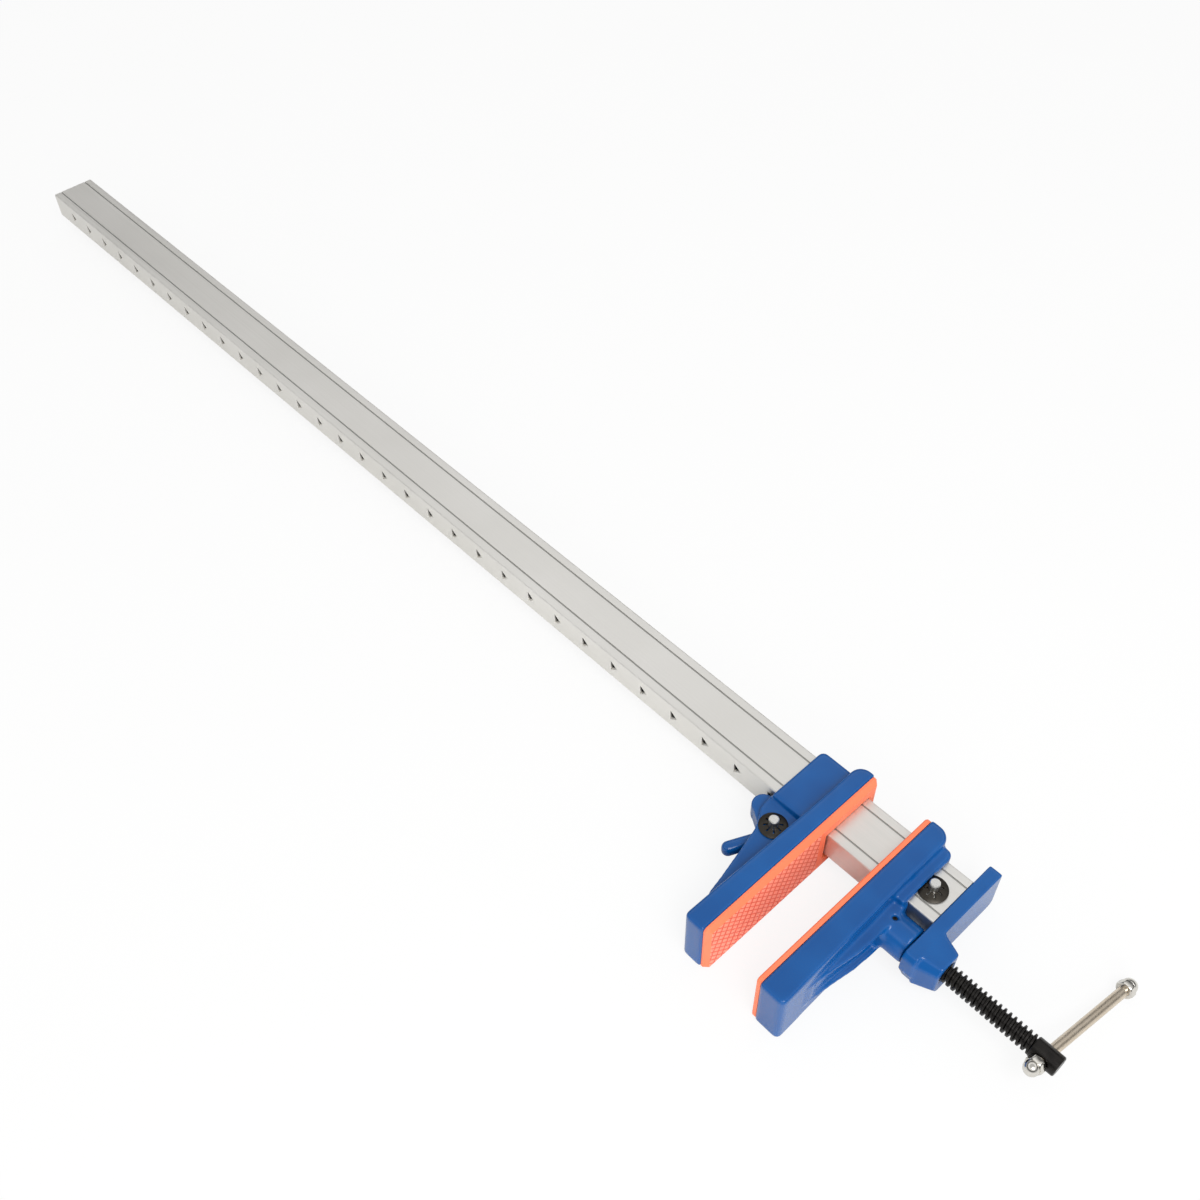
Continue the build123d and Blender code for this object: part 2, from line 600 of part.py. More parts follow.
# ---------------------------------------------------------------- screw
def thread(x0, x1):
    """Trapezoidal right-hand thread on a core, along +X from x0 to x1."""
    core_r = SCREW_R - THREAD_DEPTH
    sink = 0.15
    half_root, half_crest = SCREW_LEAD * 0.33, SCREW_LEAD * 0.17
    length = x1 - x0 - 2 * half_root
    path = Helix(SCREW_LEAD, length, core_r - sink)
    profile = Polyline((0, -half_root), (THREAD_DEPTH + sink, -half_crest),
                       (THREAD_DEPTH + sink, half_crest), (0, half_root), close=True)
    plane = Plane(origin=path @ 0, x_dir=(1, 0, 0), z_dir=(0, -1, 0))
    ridge = sweep(plane * make_face(profile), path=path, is_frenet=True)
    core = Pos(0, 0, length / 2) * Cylinder(core_r, length + 2 * half_root)
    body = core + ridge
    return Pos(x0 + half_root, SCREW_Y, SCREW_Z) * Rot(0, 90, 0) * body


def make_clamp_screw():
    """Screw with a grooved nose, a long trapezoidal thread and a cross-drilled head."""
    nose_end = nose_start() + NOSE_LENGTH
    body = rod_x(nose_start(), nose_end + 0.5, SCREW_Y, SCREW_Z, NOSE_R)
    mid = neck_middle()
    ring = rod_x(mid - NECK_WIDTH / 2, mid + NECK_WIDTH / 2, SCREW_Y, SCREW_Z, NOSE_R + 1)
    ring -= rod_x(mid - NECK_WIDTH, mid + NECK_WIDTH, SCREW_Y, SCREW_Z, NECK_R)
    body -= ring
    body += thread(nose_end + 0.2, HEAD_START + SCREW_LEAD)
    head = rod_x(HEAD_START, HEAD_END, SCREW_Y, SCREW_Z, HEAD_R)
    head = chamfer(edges_near(head, lambda c: abs(c.X - HEAD_END) < 0.01), 0.5)
    head = chamfer(edges_near(head, lambda c: abs(c.X - HEAD_START) < 0.01), 0.5)
    body += head
    hole = rod_y(-2 * HEAD_R, 2 * HEAD_R, ROD_HOLE_R)
    return body - Pos(ROD_X, SCREW_Y, SCREW_Z) * Rot(ROD_TILT, 0, 0) * hole


def rod_y(y0, y1, r):
    """Round bar along Y about the origin."""
    return Pos(0, (y0 + y1) / 2, 0) * Rot(90, 0, 0) * Cylinder(r, y1 - y0)


def tilted(body):
    """Hangs a body made along Y in the cross hole, askew in its play."""
    return Pos(ROD_X, SCREW_Y, SCREW_Z) * Rot(ROD_TILT, 0, 0) * Rot(0, 0, ROD_SKEW) * body


def make_tommy_bar():
    """Plain round handle through the screw's head."""
    return tilted(rod_y(-ROD_NEAR - ACORN_SEAT, ROD_FAR + ACORN_SEAT, ROD_R))


def make_acorn_nut(end):
    """Domed nut closing one end of the tommy bar; end is -1 for the near one, 1 for the far."""
    seat = -ROD_NEAR if end < 0 else ROD_FAR
    upright = (Align.CENTER, Align.CENTER, Align.MIN)
    hexagon = extrude(RegularPolygon(ACORN_AF / 2, 6, major_radius=False), ACORN_HEX)
    hexagon &= Cylinder(ACORN_AF * 0.56, ACORN_HEX, align=upright)
    dome_r = ACORN_AF * 0.47
    centre = ACORN_HEIGHT - dome_r
    neck = Pos(0, 0, ACORN_HEX) * Cylinder(dome_r, centre - ACORN_HEX, align=upright)
    dome = Pos(0, 0, centre) * Sphere(dome_r)
    body = hexagon + neck + dome - Cylinder(ROD_R, ACORN_SEAT, align=upright)
    return tilted(Pos(0, seat, 0) * Rot(-90 * end, 0, 0) * body)


# ---------------------------------------------------------------- placing and writing
MAKERS = {
    "bar": make_bar,
    "tail_plug": make_tail_plug,
    "end_plate": make_end_plate,
    "thread_bush": make_thread_bush,
    "end_pin": make_end_pin,
    "end_push_nut": make_end_push_nut,
    "sliding_jaw": make_sliding_jaw,
    "sliding_pad": make_sliding_pad,
    "pivot_pin": make_pivot_pin,
    "pivot_push_nut": make_pivot_push_nut,
    "lever_spring": make_lever_spring,
    "release_lever": make_release_lever,
    "pawl_tooth": make_pawl_tooth,
    "screw_jaw": make_screw_jaw,
    "screw_pad": make_screw_pad,
    "thrust_disc": make_thrust_disc,
    "set_screw": make_set_screw,
    "clamp_screw": make_clamp_screw,
    "tommy_bar": make_tommy_bar,
    "near_acorn_nut": lambda: make_acorn_nut(-1),
    "far_acorn_nut": lambda: make_acorn_nut(1),
}


def overall_box():
    """Limits of the whole clamp in the working frame, from its outermost pieces."""
    far = make_acorn_nut(1).bounding_box().max
    high = (max(HEAD_END, far.X), max(PLATE_FAR, far.Y), max(CREST_HEIGHT, PIN_STAND))
    return (0.0, -BEAM_REACH, -FOOT_DEPTH), high


LOW, HIGH = overall_box()
SHIFT = (-(LOW[0] + HIGH[0]) / 2, -(LOW[1] + HIGH[1]) / 2, -LOW[2])


def main():
    os.makedirs("parts", exist_ok=True)
    for name, make in MAKERS.items():
        solid = Pos(*SHIFT) * make()
        export_step(solid, "parts/" + name + ".step")


main()
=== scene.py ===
import json
import math

import bpy
from mathutils import Matrix, Vector

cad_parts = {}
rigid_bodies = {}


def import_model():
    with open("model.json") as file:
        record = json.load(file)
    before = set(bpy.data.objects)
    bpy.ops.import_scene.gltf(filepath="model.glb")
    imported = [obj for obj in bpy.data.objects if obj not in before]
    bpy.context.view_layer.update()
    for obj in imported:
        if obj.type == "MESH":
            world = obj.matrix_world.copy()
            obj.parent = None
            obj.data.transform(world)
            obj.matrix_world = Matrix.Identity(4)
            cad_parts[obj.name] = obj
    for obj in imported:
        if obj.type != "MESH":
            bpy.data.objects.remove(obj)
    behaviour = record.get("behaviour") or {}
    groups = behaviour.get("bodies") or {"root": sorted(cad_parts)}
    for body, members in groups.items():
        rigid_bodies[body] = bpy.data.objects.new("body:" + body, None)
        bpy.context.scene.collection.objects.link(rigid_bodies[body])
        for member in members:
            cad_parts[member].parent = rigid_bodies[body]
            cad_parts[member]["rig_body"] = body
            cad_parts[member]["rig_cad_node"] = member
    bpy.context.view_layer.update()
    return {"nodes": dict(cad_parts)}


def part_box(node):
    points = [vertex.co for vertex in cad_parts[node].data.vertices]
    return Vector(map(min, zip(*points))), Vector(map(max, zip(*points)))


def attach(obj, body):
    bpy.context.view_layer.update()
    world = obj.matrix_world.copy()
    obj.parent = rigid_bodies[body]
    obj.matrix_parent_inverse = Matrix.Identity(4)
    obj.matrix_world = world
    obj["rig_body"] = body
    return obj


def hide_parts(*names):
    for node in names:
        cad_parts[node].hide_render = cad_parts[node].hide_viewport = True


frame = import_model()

nodes = frame["nodes"]


# ---------------------------------------------------------------- the studio
# A wide sheet of white paper under the clamp, in a pale room, lit by two soft boxes as small
# tools are shown for sale. The camera looks down the bar from beyond the screw.
VIEW_FROM = Vector((0.549911, -0.321935, 0.6642))
VIEW_AZIMUTH, VIEW_ELEVATION, VIEW_ROLL = 48.4247, 49.2091, -1.6904
VIEW_LENS, VIEW_SENSOR = 40.65, 36.0
VIEW_NEAREST, VIEW_FURTHEST = 0.05, 50.0
PAPER_SIZE = 8.0


def colour(code):
    """Turns an sRGB hex colour into the linear one that Blender's sockets hold."""
    parts = [int(code[i:i + 2], 16) / 255 for i in (1, 3, 5)]
    linear = [p / 12.92 if p <= 0.04045 else ((p + 0.055) / 1.055) ** 2.4 for p in parts]
    return (*linear, 1.0)


def node(tree, kind, links=None, **settings):
    """Adds one node. Links are socket values, or (node, output) pairs that feed the socket."""
    made = tree.nodes.new(kind)
    for name, value in settings.items():
        setattr(made, name, value)
    for name, value in (links or {}).items():
        if isinstance(value, tuple) and isinstance(value[0], bpy.types.Node):
            tree.links.new(value[0].outputs[value[1]], made.inputs[name])
        else:
            made.inputs[name].default_value = value
    return made


def aim(from_point, azimuth, elevation, roll):
    """The place and turn of a camera that looks down from one side, tipped by a roll."""
    a, e, r = (math.radians(angle) for angle in (azimuth, elevation, roll))
    back = Vector((math.sin(a) * math.cos(e), -math.cos(a) * math.cos(e), math.sin(e)))
    right = Vector((math.cos(a), math.sin(a), 0))
    up = back.cross(right)
    across = right * math.cos(r) + up * math.sin(r)
    upward = up * math.cos(r) - right * math.sin(r)
    turn = Matrix((across, upward, back)).transposed().to_4x4()
    return Matrix.Translation(from_point) @ turn


camera = bpy.data.objects.new("camera", bpy.data.cameras.new("camera"))
bpy.context.scene.collection.objects.link(camera)
camera.data.lens, camera.data.sensor_width = VIEW_LENS, VIEW_SENSOR
camera.data.clip_start, camera.data.clip_end = VIEW_NEAREST, VIEW_FURTHEST
camera.matrix_world = aim(VIEW_FROM, VIEW_AZIMUTH, VIEW_ELEVATION, VIEW_ROLL)
bpy.context.scene.camera = camera

bpy.context.scene.view_settings.view_transform = "Standard"

# Matt white paper, its tone drifting over some 130 mm. Most of what the camera sees of it is
# plain white, and the rest keeps the clamp's shadow.
PAPER_WHITE = 0.86
paper = bpy.data.materials.new("matt_white_paper")
paper.use_nodes = True
tree = paper.node_tree
tree.nodes.clear()
path = node(tree, "ShaderNodeLightPath")
fibre = node(tree, "ShaderNodeTexNoise", {"Scale": 60.0, "Detail": 3.0})
tone = node(tree, "ShaderNodeMix", {0: (fibre, 0), 6: colour("#EDEDEC"), 7: colour("#F3F3F2")},
            data_type="RGBA")
matt = node(tree, "ShaderNodeBsdfDiffuse", {"Color": (tone, 2)})
seen = node(tree, "ShaderNodeEmission", {"Color": (1, 1, 1, 1), "Strength": 1.0})
share = node(tree, "ShaderNodeMath", {0: (path, "Is Camera Ray"), 1: PAPER_WHITE}, operation="MULTIPLY")
both = node(tree, "ShaderNodeMixShader", {0: (share, 0), 1: (matt, 0), 2: (seen, 0)})
node(tree, "ShaderNodeOutputMaterial", {"Surface": (both, 0)})

bpy.ops.object.select_all(action="DESELECT")
bpy.ops.mesh.primitive_plane_add(size=PAPER_SIZE)
floor = bpy.context.object
floor.name = "paper_floor"
floor.data.materials.append(paper)

# The room: pale walls, a grey band half way up, a bright band over it and a greyer ceiling.
# Gloss mirrors these, and matt work takes one even light. Heights are 0 level and 1 overhead.
WALL_LIGHT, GREY_BAND, BRIGHT_BAND, CEILING_SHARE = 0.95, 0.14, 1.35, 0.5
EVEN_LIGHT = 0.71
room = bpy.data.worlds.new("pale_room")
bpy.context.scene.world = room
room.use_nodes = True
tree = room.node_tree
tree.nodes.clear()
path = node(tree, "ShaderNodeLightPath")
place = node(tree, "ShaderNodeTexCoord")
split = node(tree, "ShaderNodeSeparateXYZ", {0: (place, "Generated")})
height = node(tree, "ShaderNodeMapRange", {0: (split, "Z"), 1: 0.5, 2: 0.72, 3: GREY_BAND, 4: BRIGHT_BAND})
overhead = node(tree, "ShaderNodeMapRange", {0: (split, "Z"), 1: 0.74, 2: 0.86, 3: 1.0, 4: CEILING_SHARE})
upper = node(tree, "ShaderNodeMath", {0: (height, 0), 1: (overhead, 0)}, operation="MULTIPLY")
walls = node(tree, "ShaderNodeMapRange", {0: (split, "Z"), 1: 0.1, 2: 0.4, 3: WALL_LIGHT, 4: 0.0})
band = node(tree, "ShaderNodeMath", {0: (upper, 0), 1: (walls, 0)}, operation="MAXIMUM")
lit = node(tree, "ShaderNodeMix", {0: (path, "Is Glossy Ray"), 2: EVEN_LIGHT, 3: (band, 0)})
power = node(tree, "ShaderNodeMix", {0: (path, "Is Camera Ray"), 2: (lit, 0), 3: 1.0})
sky = node(tree, "ShaderNodeBackground", {"Color": (1, 1, 1, 1), "Strength": (power, 0)})
node(tree, "ShaderNodeOutputWorld", {"Surface": (sky, 0)})

# Two soft boxes on the screw's side: a high one that reaches the pads and is mirrored only in
# rounded edges, and a larger one low down for the ends of the castings.
LIT_SPOT = Vector((0.1, 0, 0))
for name, at, size, watts in (("high_soft_box", (1.1, -0.35, 1.4), 0.7, 11.0),
                              ("low_soft_box", (1.5, -1.1, 0.6), 0.9, 11.0)):
    lamp = bpy.data.lights.new(name, "AREA")
    lamp.size = size
    lamp.energy = watts
    box = bpy.data.objects.new(name, lamp)
    bpy.context.scene.collection.objects.link(box)
    box.location = at
    # The low one would glare off the bar's broad face, so nothing mirrors it.
    box.visible_glossy = name == "high_soft_box"
    box.rotation_euler = (LIT_SPOT - Vector(at)).to_track_quat("-Z", "Y").to_euler()


# ---------------------------------------------------------------- the bar
# A hollow bar of extruded aluminium with the mill's own finish: straight drawn lines along
# it, two shallow grooves on each broad face, and a row of punched notches down one side.
BAR_MID_Y, BAR_MID_Z = 0.032565, 0.021
BAR_EDGE = 0.00015
# Distances from the bar's middle at which the painted shade of its inside starts to clear, and the metal
# has its full colour.
SHADE_CLEARS_ACROSS, SHADE_CLEARS_UP = (0.0150, 0.0162), (0.0089, 0.0100)

extrusion = bpy.data.materials.new("mill_finish_aluminium_extrusion")
extrusion.use_nodes = True
tree = extrusion.node_tree
tree.nodes.clear()
place = node(tree, "ShaderNodeTexCoord")
# Die lines are some 0.1 mm apart; drawn 1.2 mm apart here, so that they show.
drawn = node(tree, "ShaderNodeMapping", {"Vector": (place, "Object"), "Scale": (4.0, 900.0, 900.0)})
lines = node(tree, "ShaderNodeTexNoise", {"Vector": (drawn, 0), "Scale": 1.0, "Detail": 3.0,
                                          "Roughness": 0.6})
# The skin of the metal is cloudy over some 60 mm.
cloud = node(tree, "ShaderNodeTexNoise", {"Vector": (place, "Object"), "Scale": 16.0, "Detail": 2.0})
mixed = node(tree, "ShaderNodeMath", {0: (lines, 0), 1: (cloud, 0)}, operation="MULTIPLY")
spread = node(tree, "ShaderNodeMapRange", {0: (mixed, 0), 1: 0.1, 2: 0.45, 3: 0.0, 4: 1.0})
tone = node(tree, "ShaderNodeMix", {0: (spread, 0), 6: colour("#E4E2DD"), 7: colour("#EDEBE7")},
            data_type="RGBA")
sheen = node(tree, "ShaderNodeMapRange", {0: (lines, 0), 1: 0.3, 2: 0.7, 3: 0.36, 4: 0.48})
ridge = node(tree, "ShaderNodeBump", {"Strength": 0.08, "Distance": 0.00004, "Height": (lines, 0)})
# Painted shade: the bore and the floors of the grooves are painted dark, below the skin, for the shade that
# lies in them.
split = node(tree, "ShaderNodeSeparateXYZ", {0: (place, "Object")})
aside = node(tree, "ShaderNodeMath", {0: (split, "Y"), 1: BAR_MID_Y}, operation="SUBTRACT")
aside = node(tree, "ShaderNodeMath", {0: (aside, 0)}, operation="ABSOLUTE")
below = node(tree, "ShaderNodeMath", {0: (split, "Z"), 1: BAR_MID_Z}, operation="SUBTRACT")
below = node(tree, "ShaderNodeMath", {0: (below, 0)}, operation="ABSOLUTE")
across = node(tree, "ShaderNodeMapRange", {0: (aside, 0), 1: SHADE_CLEARS_ACROSS[0], 2: SHADE_CLEARS_ACROSS[1]})
upward = node(tree, "ShaderNodeMapRange", {0: (below, 0), 1: SHADE_CLEARS_UP[0], 2: SHADE_CLEARS_UP[1]})
beyond_painted_shade = node(tree, "ShaderNodeMath", {0: (across, 0), 1: (upward, 0)}, operation="MAXIMUM")
shade = node(tree, "ShaderNodeMix", {0: (beyond_painted_shade, 0), 6: colour("#2B2A28"), 7: (tone, 2)}, data_type="RGBA")
metal = node(tree, "ShaderNodeBsdfPrincipled", {"Base Color": (shade, 2), "Metallic": 1.0,
                                                "Roughness": (sheen, 0), "Normal": (ridge, 0)})
node(tree, "ShaderNodeOutputMaterial", {"Surface": (metal, 0)})


def wear(piece, material):
    """Gives a piece one material all over."""
    piece.data.materials.clear()
    piece.data.materials.append(material)


def welded_copy(node_name, piece_name):
    """A copy of a solid with its loose faces welded and its flat faces made whole again."""
    bpy.ops.object.select_all(action="DESELECT")
    source = nodes[node_name]
    source.select_set(True)
    bpy.context.view_layer.objects.active = source
    bpy.ops.object.duplicate()
    piece = bpy.context.object
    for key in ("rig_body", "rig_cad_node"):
        del piece[key]
    piece.parent = None
    piece.matrix_world = Matrix.Identity(4)
    piece.name = piece_name
    bpy.ops.object.mode_set(mode="EDIT")
    bpy.ops.mesh.select_all(action="SELECT")
    bpy.ops.mesh.remove_doubles(threshold=0.000002)
    bpy.ops.mesh.dissolve_limited(angle_limit=math.radians(0.5))
    bpy.ops.mesh.select_all(action="DESELECT")
    bpy.ops.object.mode_set(mode="OBJECT")
    return piece


def finish_with(piece, kind, **settings):
    """Adds one modifier to a piece and applies it."""
    bpy.ops.object.select_all(action="DESELECT")
    piece.select_set(True)
    bpy.context.view_layer.objects.active = piece
    modifier = piece.modifiers.new(kind.lower(), kind)
    for name, value in settings.items():
        setattr(modifier, name, value)
    bpy.ops.object.modifier_apply(modifier=modifier.name)


def smooth(piece, degrees):
    """Shades a piece smooth, keeping edges sharper than an angle."""
    bpy.ops.object.select_all(action="DESELECT")
    piece.select_set(True)
    bpy.context.view_layer.objects.active = piece
    bpy.ops.object.shade_smooth_by_angle(angle=math.radians(degrees))


def smooth_beside_flats(piece, degrees):
    """As smooth, but its big flat faces stay flat and the small rounded ones bend to meet them."""
    smooth(piece, degrees)
    finish_with(piece, "WEIGHTED_NORMAL", keep_sharp=True, weight=100)


bar = welded_copy("bar", "aluminium_bar")
finish_with(bar, "BEVEL", width=BAR_EDGE, segments=2, limit_method="ANGLE", angle_limit=math.radians(40))
smooth_beside_flats(bar, 50)
wear(bar, extrusion)
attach(bar, "bar")
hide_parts("bar")


# ---------------------------------------------------------------- the tail plug
# A moulded black plastic cap pushed into the bar's tail, so that the cut end doesn't mark
# the bench. Moulded plastic has a fine even texture and no shine.
moulding = bpy.data.materials.new("moulded_black_polypropylene")
moulding.use_nodes = True
tree = moulding.node_tree
tree.nodes.clear()
place = node(tree, "ShaderNodeTexCoord")
# Spark-eroded mould texture, about 0.4 mm.
pits = node(tree, "ShaderNodeTexNoise", {"Vector": (place, "Object"), "Scale": 2500.0, "Detail": 2.0})
tone = node(tree, "ShaderNodeMix", {0: (pits, 0), 6: colour("#1B1B1C"), 7: colour("#262627")},
            data_type="RGBA")
matt = node(tree, "ShaderNodeMapRange", {0: (pits, 0), 3: 0.5, 4: 0.65})
relief = node(tree, "ShaderNodeBump", {"Strength": 0.3, "Distance": 0.00003, "Height": (pits, 0)})
plastic = node(tree, "ShaderNodeBsdfPrincipled", {"Base Color": (tone, 2), "Roughness": (matt, 0),
                                                  "IOR": 1.49, "Normal": (relief, 0)})
node(tree, "ShaderNodeOutputMaterial", {"Surface": (plastic, 0)})

plug = welded_copy("tail_plug", "moulded_tail_plug")
finish_with(plug, "BEVEL", width=0.0005, segments=3, limit_method="ANGLE", angle_limit=math.radians(40))
smooth_beside_flats(plug, 50)
wear(plug, moulding)
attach(plug, "bar")
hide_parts("tail_plug")


# ---------------------------------------------------------------- the painted castings
# The sliding jaw, the screw jaw and the end plate are sand castings, fettled and then dipped
# in blue enamel: soft edges, filled inside corners, and a gloss skin with a slight ripple.
enamel = bpy.data.materials.new("blue_enamel_on_cast_iron")
enamel.use_nodes = True
tree = enamel.node_tree
tree.nodes.clear()
place = node(tree, "ShaderNodeTexCoord")
# The ripple of dipped paint over sand-cast skin, about 4 mm across, and a finer grain at 1 mm.
ripple = node(tree, "ShaderNodeTexNoise", {"Vector": (place, "Object"), "Scale": 240.0, "Detail": 2.0})
grain = node(tree, "ShaderNodeTexNoise", {"Vector": (place, "Object"), "Scale": 1000.0, "Detail": 1.0})
# Paint gathers thicker and deeper in patches of some 30 mm.
patch = node(tree, "ShaderNodeTexNoise", {"Vector": (place, "Object"), "Scale": 32.0, "Detail": 2.0})
spread = node(tree, "ShaderNodeMapRange", {0: (patch, 0), 1: 0.35, 2: 0.65})
tone = node(tree, "ShaderNodeMix", {0: (spread, 0), 6: colour("#064C8E"), 7: colour("#0A5599")},
            data_type="RGBA")
shine = node(tree, "ShaderNodeMapRange", {0: (grain, 0), 1: 0.3, 2: 0.7, 3: 0.18, 4: 0.21})
low = node(tree, "ShaderNodeBump", {"Strength": 0.25, "Distance": 0.00005, "Height": (ripple, 0)})
fine = node(tree, "ShaderNodeBump", {"Strength": 0.08, "Distance": 0.00002, "Height": (grain, 0),
                                     "Normal": (low, 0)})
paint = node(tree, "ShaderNodeBsdfPrincipled", {"Base Color": (tone, 2), "Roughness": (shine, 0),
                                                "IOR": 1.46, "Normal": (fine, 0)})
node(tree, "ShaderNodeOutputMaterial", {"Surface": (paint, 0)})

CAST_VOXEL = 0.0007


def drawn_outline(points, edges, faces):
    """A new piece that is only an outline, drawn in the place of a plane's corners."""
    bpy.ops.object.select_all(action="DESELECT")
    bpy.ops.mesh.primitive_plane_add(size=0.001)
    piece = bpy.context.object
    bpy.ops.object.mode_set(mode="EDIT")
    bpy.ops.mesh.select_all(action="SELECT")
    bpy.ops.mesh.delete(type="VERT")
    bpy.ops.object.mode_set(mode="OBJECT")
    piece.data.from_pydata(points, edges, faces)
    return piece


def cut_with(piece, cutter, operation="DIFFERENCE"):
    """Cuts one closed piece with another, or joins them, and removes the second."""
    finish_with(piece, "BOOLEAN", object=cutter, operation=operation, solver="EXACT")
    bpy.data.objects.remove(cutter)


def cast_copy(node_name, piece_name, rounds, hollows=()):
    """A copy of a casting's solid with its edges worn soft and its inside corners filled.

    Rounds say how far the edges are worn. Hollows are plan outlines, each with a low and a
    high level, pressed into the casting first.
    """
    piece = welded_copy(node_name, piece_name)
    for outline, low, high in hollows:
        core = drawn_outline([(x, y, low) for x, y in outline], [], [range(len(outline))])
        bpy.ops.object.mode_set(mode="EDIT")
        bpy.ops.mesh.select_all(action="SELECT")
        bpy.ops.mesh.extrude_region_move(TRANSFORM_OT_translate={"value": (0, 0, high - low)})
        bpy.ops.mesh.select_all(action="SELECT")
        bpy.ops.mesh.normals_make_consistent(inside=False)
        bpy.ops.object.mode_set(mode="OBJECT")
        cut_with(piece, core)
    finish_with(piece, "REMESH", mode="VOXEL", voxel_size=CAST_VOXEL, use_smooth_shade=True)
    finish_with(piece, "SMOOTH", factor=0.5, iterations=rounds)
    smooth(piece, 180)
    wear(piece, enamel)
    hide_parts(node_name)
    return piece


JAW_WEAR, PLATE_WEAR = 16, 10
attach(cast_copy("sliding_jaw", "sliding_jaw_casting", JAW_WEAR), "sliding_jaw")

# The screw jaw's web is fluted along its side, between a rim at the top and one at the foot.
# The flute's plan is given from the pad's side of the casting outwards, sleeve end first.
FLUTE_LOW, FLUTE_HIGH = 0.0137, 0.0285
FLUTE_PLAN = ((0.0174, -0.0076), (0.0167, -0.024), (0.0153, -0.040), (0.0153, -0.050),
              (0.0165, -0.058), (0.0250, -0.066), (0.0250, -0.0076))
pad_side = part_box("screw_jaw")[0].x
flute = [(pad_side + x, y) for x, y in FLUTE_PLAN]
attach(cast_copy("screw_jaw", "screw_jaw_casting", JAW_WEAR, [(flute, FLUTE_LOW, FLUTE_HIGH)]), "screw_jaw")
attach(cast_copy("end_plate", "end_plate_casting", PLATE_WEAR), "bar")


# ---------------------------------------------------------------- the release lever
# A small casting of its own, finished as the jaws are: it turns on the pivot pin and lifts
# the tooth out of the notches when its rounded tail is squeezed.
LEVER_WEAR = 7
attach(cast_copy("release_lever", "release_lever_casting", LEVER_WEAR), "release_lever")


# ---------------------------------------------------------------- the jaw pads
# Soft orange thermoplastic rubber, moulded with a bevelled rim and a diamond-knurled face,
# pressed onto the jaws by its pegs. It is dull, with a broad soft gleam along the rim.

# The knurl's two cuts, each with its turn in degrees and its pitch in metres. They keep to
# the flat face, within a hair's depth, and stop short of the window round the bar.
KNURLS = ((17.0, 0.0052), (-44.0, 0.0029))
KNURL_DEPTH, KNURL_END = 0.00012, 0.0095
# A wave texture at a scale of one has its bands this far apart.
WAVE_PERIOD = 0.31416
rubber = {}
for pad_name, face_x in (("sliding_pad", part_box("sliding_pad")[1].x),
                         ("screw_pad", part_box("screw_pad")[0].x)):
    material = bpy.data.materials.new("moulded_orange_rubber_" + pad_name)
    rubber[pad_name] = material
    material.use_nodes = True
    tree = material.node_tree
    tree.nodes.clear()
    place = node(tree, "ShaderNodeTexCoord")
    heights = []
    for turn, pitch in KNURLS:
        way = node(tree, "ShaderNodeMapping", {"Vector": (place, "Object"),
                                               "Rotation": (math.radians(turn), 0, 0)})
        wave = node(tree, "ShaderNodeTexWave", {"Vector": (way, 0), "Scale": WAVE_PERIOD / pitch,
                                                "Distortion": 0.0}, bands_direction="Y")
        heights.append(wave)
    diamonds = node(tree, "ShaderNodeMath", {0: (heights[0], 1), 1: (heights[1], 1)}, operation="MINIMUM")
    split = node(tree, "ShaderNodeSeparateXYZ", {0: (place, "Object")})
    deep = node(tree, "ShaderNodeMath", {0: (split, "X"), 1: face_x}, operation="SUBTRACT")
    flush = node(tree, "ShaderNodeMath", {0: (deep, 0), 1: 0.0, 2: KNURL_DEPTH}, operation="COMPARE")
    short = node(tree, "ShaderNodeMath", {0: (split, "Y"), 1: KNURL_END}, operation="LESS_THAN")
    flush = node(tree, "ShaderNodeMath", {0: (flush, 0), 1: (short, 0)}, operation="MULTIPLY")
    knurl = node(tree, "ShaderNodeMath", {0: (diamonds, 0), 1: (flush, 0)}, operation="MULTIPLY")
    # The moulded skin is specked at about 1 mm, and its colour drifts over some 20 mm.
    speck = node(tree, "ShaderNodeTexNoise", {"Vector": (place, "Object"), "Scale": 900.0, "Detail": 2.0})
    cloud = node(tree, "ShaderNodeTexNoise", {"Vector": (place, "Object"), "Scale": 45.0, "Detail": 2.0})
    rim = node(tree, "ShaderNodeMix", {0: (cloud, 0), 6: colour("#FB7A50"), 7: colour("#FE8760")},
               data_type="RGBA")
    # Painted light and shade: the points of the knurl are painted pale as a highlight, and the grooves
    # between them dark red as their shade.
    point = node(tree, "ShaderNodeMapRange", {0: (diamonds, 0), 1: 0.02, 2: 0.25})
    painted_knurl_light_and_shade = node(tree, "ShaderNodeMix", {0: (point, 0), 6: colour("#E2583F"), 7: colour("#FFA388")},
                data_type="RGBA")
    tone = node(tree, "ShaderNodeMix", {0: (flush, 0), 6: (rim, 2), 7: (painted_knurl_light_and_shade, 2)}, data_type="RGBA")
    rough = node(tree, "ShaderNodeMapRange", {0: (speck, 0), 3: 0.42, 4: 0.58})
    cut = node(tree, "ShaderNodeBump", {"Strength": 0.6, "Distance": 0.00025, "Height": (knurl, 0)})
    skin = node(tree, "ShaderNodeBump", {"Strength": 0.2, "Distance": 0.00003, "Height": (speck, 0),
                                         "Normal": (cut, 0)})
    body = node(tree, "ShaderNodeBsdfPrincipled", {"Base Color": (tone, 2), "Roughness": (rough, 0),
                                                   "IOR": 1.5, "Normal": (skin, 0)})
    node(tree, "ShaderNodeOutputMaterial", {"Surface": (body, 0)})

for pad_name, piece_name, rides_on, edge in (("sliding_pad", "thick_jaw_pad", "sliding_jaw", 0.0006),
                                             ("screw_pad", "thin_jaw_pad", "screw_jaw", 0.0004)):
    pad = welded_copy(pad_name, piece_name)
    finish_with(pad, "BEVEL", width=edge, segments=3, limit_method="ANGLE", angle_limit=math.radians(25))
    smooth_beside_flats(pad, 50)
    wear(pad, rubber[pad_name])
    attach(pad, rides_on)
    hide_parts(pad_name)


